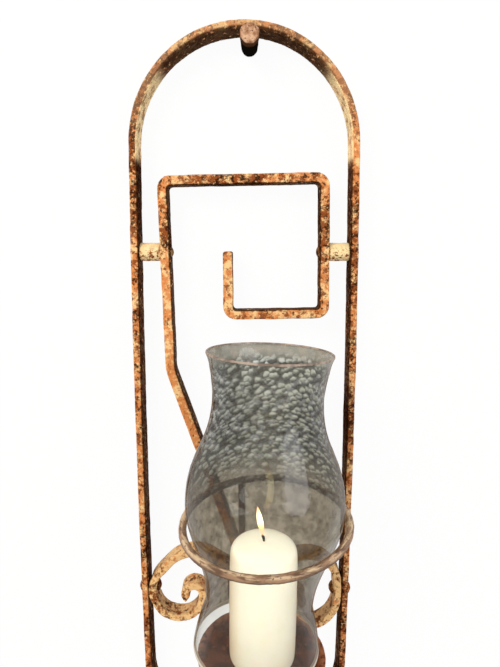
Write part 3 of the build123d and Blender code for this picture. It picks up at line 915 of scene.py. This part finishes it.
class CANDLEHOLDER_OT_ring(bpy.types.Operator):
    """Ring, stem and collar that carry the shade and the plate"""

    bl_idname = "candle_holder.ring"
    bl_label = "Ring and stem"

    def execute(self, context):
        sizes, colours = context.scene.candle_holder_sizes, context.scene.candle_holder_colours
        bare = bare_rod("bare_drawn_rod", colours, 6.0)
        ring = forge("shade_ring_rod", "shade_ring", 0.0009, 0.014, 0.0006, sizes.pit_width, sizes.pit_depth)
        dress(ring, "holder", "bare_rod", bare, "shade_ring")
        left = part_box("stem")[0].x
        paint = worn_paint("weathered_oil_paint_stem", colours, left, -0.6, -0.5, 0.08, 0.03, 0.3, 51.0)
        for name, node, face in (("stem_rod", "stem", 0.0009), ("wrapped_collar", "collar", 0.0008)):
            piece = forge(name, node, face, 0.012, 0.0005, sizes.pit_width, sizes.pit_depth)
            dress(piece, "holder", "iron_paint", paint, node)
        return {"FINISHED"}


class CANDLEHOLDER_OT_plate(bpy.types.Operator):
    """Shallow round plate that the candle stands on"""

    bl_idname = "candle_holder.plate"
    bl_label = "Drip plate"

    def execute(self, context):
        colours = context.scene.candle_holder_colours
        rust = rusted_sheet("rusted_sheet_steel", colours, 7.0)
        plate = forge("drip_plate_sheet", "drip_plate", 0.0009, 0.020, 0.0006, 0.004, 0.00025)
        dress(plate, "holder", "rusted_plate", rust, "drip_plate")
        rivet = forge("plate_rivet_head", "plate_rivet", 0.0006, 0.006, 0.0006, 0.002, 0.0002)
        dress(rivet, "holder", "rusted_plate", rust, "plate_rivet")
        return {"FINISHED"}


class CANDLEHOLDER_OT_shade(bpy.types.Operator):
    """Blown glass shade, with pebble marks in its upper half"""

    bl_idname = "candle_holder.shade"
    bl_label = "Glass shade"

    def execute(self, context):
        sizes = context.scene.candle_holder_sizes
        shade = draw_up("blown_glass_shade", 72, SHADE_RINGS, capped=False)
        shade.data.materials.append(hammered_glass("hammered_soda_glass"))
        shade.data.materials.append(clear_glass("fire_polished_glass"))
        shade.data.materials.append(rolled_edge("rolled_glass_edge"))
        pick(shade)
        bpy.ops.object.mode_set(mode="EDIT")
        bpy.ops.mesh.select_mode(type="VERT")
        bpy.ops.mesh.select_all(action="DESELECT")
        bpy.ops.mesh.select_non_manifold()
        bpy.ops.mesh.select_more()
        shade.active_material_index = 2
        bpy.ops.object.material_slot_assign()
        bpy.ops.object.mode_set(mode="OBJECT")
        finish_with(
            shade, "SOLIDIFY", thickness=sizes.glass_wall, offset=-1.0, use_even_offset=True,
            material_offset=1, material_offset_rim=2,
        )
        finish_with(shade, "SUBSURF", levels=2, render_levels=2)
        upper = shade.vertex_groups.new(name="hammered_upper_half")
        marked = [corner.index for corner in shade.data.vertices if MARKS_FROM < corner.co.z < MARKS_TO]
        upper.add(marked, 1.0, "REPLACE")
        press_in(shade, sizes.glass_mark_width, sizes.glass_mark_depth, "VORONOI", upper.name)
        stand(shade, ring_centre + SHADE_OFFSET, sizes.shade_lean)
        dress(shade, "shade", "clear_glass", None, "glass_shade")
        return {"FINISHED"}


class CANDLEHOLDER_OT_candle(bpy.types.Operator):
    """Pillar candle with its burnt wick"""

    bl_idname = "candle_holder.candle"
    bl_label = "Candle and wick"

    def execute(self, context):
        sizes, colours = context.scene.candle_holder_sizes, context.scene.candle_holder_colours
        candle = draw_up("pillar_candle", 64, CANDLE_RINGS, capped=True)
        finish_with(
            candle, "BEVEL", width=0.0004, segments=1, limit_method="ANGLE", angle_limit=math.radians(40)
        )
        finish_with(candle, "SUBSURF", levels=1, render_levels=1)
        press_in(candle, 0.030, sizes.wax_wave)
        stand(candle, candle_foot(), sizes.candle_lean)
        dress(candle, "candle", "candle_wax", ivory_wax("pressed_paraffin_wax", colours), "candle")
        wick = draw_up("charred_wick", 12, WICK_RINGS, capped=True)
        finish_with(wick, "SUBSURF", levels=1, render_levels=1)
        press_in(wick, 0.0015, 0.0005)
        stand(wick, candle_foot(), sizes.candle_lean)
        dress(wick, "candle", "wick_cotton", burnt_cotton("charred_cotton"), "wick")
        return {"FINISHED"}


class CANDLEHOLDER_OT_flame(bpy.types.Operator):
    """Flame that stands on the wick"""

    bl_idname = "candle_holder.flame"
    bl_label = "Flame"

    def execute(self, context):
        sizes, colours = context.scene.candle_holder_sizes, context.scene.candle_holder_colours
        flame = draw_up("candle_flame", 24, FLAME_RINGS, capped=True)
        finish_with(flame, "SUBSURF", levels=2, render_levels=2)
        stand(flame, candle_foot(), sizes.candle_lean)
        heights = [corner.co.z for corner in flame.data.vertices]
        gas = burning_gas("burning_wax_gas", colours, min(heights), max(heights))
        flame.data.materials.append(gas)
        pick(flame)
        bpy.ops.object.shade_smooth()
        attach(flame, "candle")
        return {"FINISHED"}


class CANDLEHOLDER_OT_stage(bpy.types.Operator):
    """Wall, floor, soft lights and camera"""

    bl_idname = "candle_holder.stage"
    bl_label = "Stage"

    def execute(self, context):
        scene = context.scene
        select_nothing()
        bpy.ops.mesh.primitive_plane_add(
            size=6.0, location=(0.0, 0.0015, 0.0), rotation=(math.radians(90), 0, 0)
        )
        wall = context.object
        wall.name = "plaster_wall"
        bpy.ops.object.transform_apply(location=True, rotation=True, scale=True)
        wall.data.materials.append(self.plaster())
        wall.visible_diffuse = False
        wall.visible_shadow = False
        bpy.ops.mesh.primitive_plane_add(size=6.0, location=(0.0, -3.0, -1.05))
        floor = context.object
        floor.name = "pale_floor"
        bpy.ops.object.transform_apply(location=True, rotation=True, scale=True)
        floor.data.materials.append(self.pale_boards())
        for name, place, size, power, tone in (
            ("soft_key", (-0.9, -1.3, 0.7), 0.9, 22.0, "#FFF6EA"),
            ("soft_fill", (1.1, -1.2, -0.1), 1.1, 6.0, "#F4F6FF"),
        ):
            bpy.ops.object.light_add(type="AREA", location=place)
            lamp = context.object
            lamp.name = lamp.data.name = name
            lamp.data.shape = "DISK"
            lamp.data.size = size
            lamp.data.energy = power
            lamp.data.color = linear(tone)
            lamp.visible_glossy = name == "soft_fill"
            aim = Vector((0.0, -0.03, -0.4)) - Vector(place)
            lamp.rotation_euler = aim.to_track_quat("-Z", "Y").to_euler()
        world = bpy.data.worlds.new("pale_room")
        scene.world = world
        world.use_nodes = True
        sky = world.node_tree.nodes["Background"]
        sky.inputs[0].default_value = tint("#F7F6F3")
        sky.inputs[1].default_value = 0.72
        bpy.ops.object.camera_add(
            location=CAMERA_PLACE, rotation=(math.radians(CAMERA_TILT), 0.0, math.radians(CAMERA_TURN))
        )
        camera = context.object
        camera.name = "photo_camera"
        camera.data.lens = CAMERA_LENS
        camera.data.sensor_width = CAMERA_SENSOR
        scene.camera = camera
        scene.view_settings.view_transform = "Standard"
        return {"FINISHED"}

    def plaster(self):
        """Smooth white plaster, lit evenly. From behind it is clear, so that the back can be seen."""
        material, tree, _, _ = blank_material("white_plaster")
        matt = add(tree, "BsdfDiffuse", None, {"Color": tint("#F2F2F0")})
        glow = add(tree, "Emission", None, {"Color": tint("#FFFFFF"), "Strength": 1.0})
        front = add(tree, "MixShader", None, {0: 0.95, 1: matt.outputs[0], 2: glow.outputs[0]})
        clear = add(tree, "BsdfTransparent")
        behind = add(tree, "NewGeometry").outputs["Backfacing"]
        both = add(tree, "MixShader", None, {0: behind, 1: front.outputs[0], 2: clear.outputs[0]})
        add(tree, "OutputMaterial", None, {"Surface": both.outputs[0]})
        return material

    def pale_boards(self):
        """Pale painted floor with a faint cloudiness."""
        material, tree, place, _ = blank_material("pale_floor_paint")
        cloud = patches(tree, place, 0.3, 0.35, 0.65, 1.0)
        shade = over(tree, tint("#E9E7E2"), tint("#E2E0DA"), cloud)
        skin = add(tree, "BsdfPrincipled", None, {"Base Color": shade, "Roughness": 0.6})
        add(tree, "OutputMaterial", None, {"Surface": skin.outputs[0]})
        return material


OPERATORS = (
    CANDLEHOLDER_OT_peg,
    CANDLEHOLDER_OT_frame,
    CANDLEHOLDER_OT_scroll,
    CANDLEHOLDER_OT_volutes,
    CANDLEHOLDER_OT_fixings,
    CANDLEHOLDER_OT_ring,
    CANDLEHOLDER_OT_plate,
    CANDLEHOLDER_OT_shade,
    CANDLEHOLDER_OT_candle,
    CANDLEHOLDER_OT_flame,
    CANDLEHOLDER_OT_stage,
)


class CANDLEHOLDER_PT_pieces(bpy.types.Panel):
    """Lists the pieces, their sizes and their colours"""

    bl_idname = "CANDLEHOLDER_PT_pieces"
    bl_label = "Candle holder"
    bl_space_type = "VIEW_3D"
    bl_region_type = "UI"
    bl_category = "Candle holder"

    def draw(self, context):
        layout = self.layout
        for operator in OPERATORS:
            layout.operator(operator.bl_idname)
        for group in (context.scene.candle_holder_sizes, context.scene.candle_holder_colours):
            box = layout.box()
            for name in group.__annotations__:
                box.prop(group, name)


def register():
    for kind in (CandleHolderSizes, CandleHolderColours, *OPERATORS, CANDLEHOLDER_PT_pieces):
        bpy.utils.register_class(kind)
    bpy.types.Scene.candle_holder_sizes = bpy.props.PointerProperty(type=CandleHolderSizes)
    bpy.types.Scene.candle_holder_colours = bpy.props.PointerProperty(type=CandleHolderColours)


def unregister():
    del bpy.types.Scene.candle_holder_colours
    del bpy.types.Scene.candle_holder_sizes
    for kind in reversed((CandleHolderSizes, CandleHolderColours, *OPERATORS, CANDLEHOLDER_PT_pieces)):
        bpy.utils.unregister_class(kind)


def main():
    register()
    for operator in OPERATORS:
        getattr(bpy.ops.candle_holder, operator.bl_idname.split(".")[1])()


if __name__ == "__main__":
    main()
